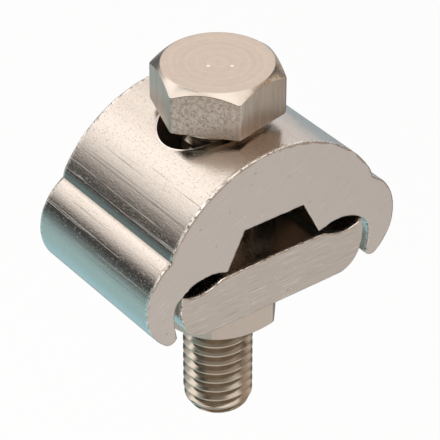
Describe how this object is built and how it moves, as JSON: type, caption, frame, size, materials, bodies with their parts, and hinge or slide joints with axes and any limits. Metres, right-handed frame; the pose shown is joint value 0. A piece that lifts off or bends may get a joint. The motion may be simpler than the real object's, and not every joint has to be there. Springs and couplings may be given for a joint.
{
  "type": "parallel groove clamp",
  "caption": "Extruded metal clamp body with a domed back and two hooked lips, and a grooved plate drawn up to it by a hexagon screw and nut to grip two parallel conductors.",
  "frame": {"origin": "on the screw axis, level with the tips of the body's two ridges, where the jaws part", "axes": "+X across the clamp, +Y along the conductors, +Z along the screw towards its head"},
  "size_m": [0.033, 0.02, 0.0447],
  "materials": {
    "clamp_metal": "tin-plated extrusion, satin with fine lengthwise lines",
    "plate_metal": "tin-plated extrusion, satin",
    "screw_steel": "stainless, rolled thread",
    "nut_steel": "stainless"
  },
  "bodies": {
    "body": {"clamp_body": "clamp_metal"},
    "plate": {"clamp_plate": "plate_metal"},
    "screw": {"hex_screw": "screw_steel"},
    "nut": {"hex_nut": "nut_steel"}
  },
  "joints": [
    {"name": "screw_turn", "type": "hinge", "parent": "body", "child": "screw", "pos_m": [0, 0, 0], "axis": [0, 0, 1], "continuous": true},
    {"name": "plate_travel", "type": "slide", "parent": "body", "child": "plate", "axis": [0, 0, -1], "range_m": [0, 0.0125]},
    {"name": "nut_turn", "type": "hinge", "parent": "plate", "child": "nut", "pos_m": [0, 0, 0], "axis": [0, 0, 1], "range_deg": [-3600, 0]}
  ],
  "couplings": [
    {"joint": "nut_turn", "follows": "plate_travel", "rad_per_m": -5026.5}
  ]
}
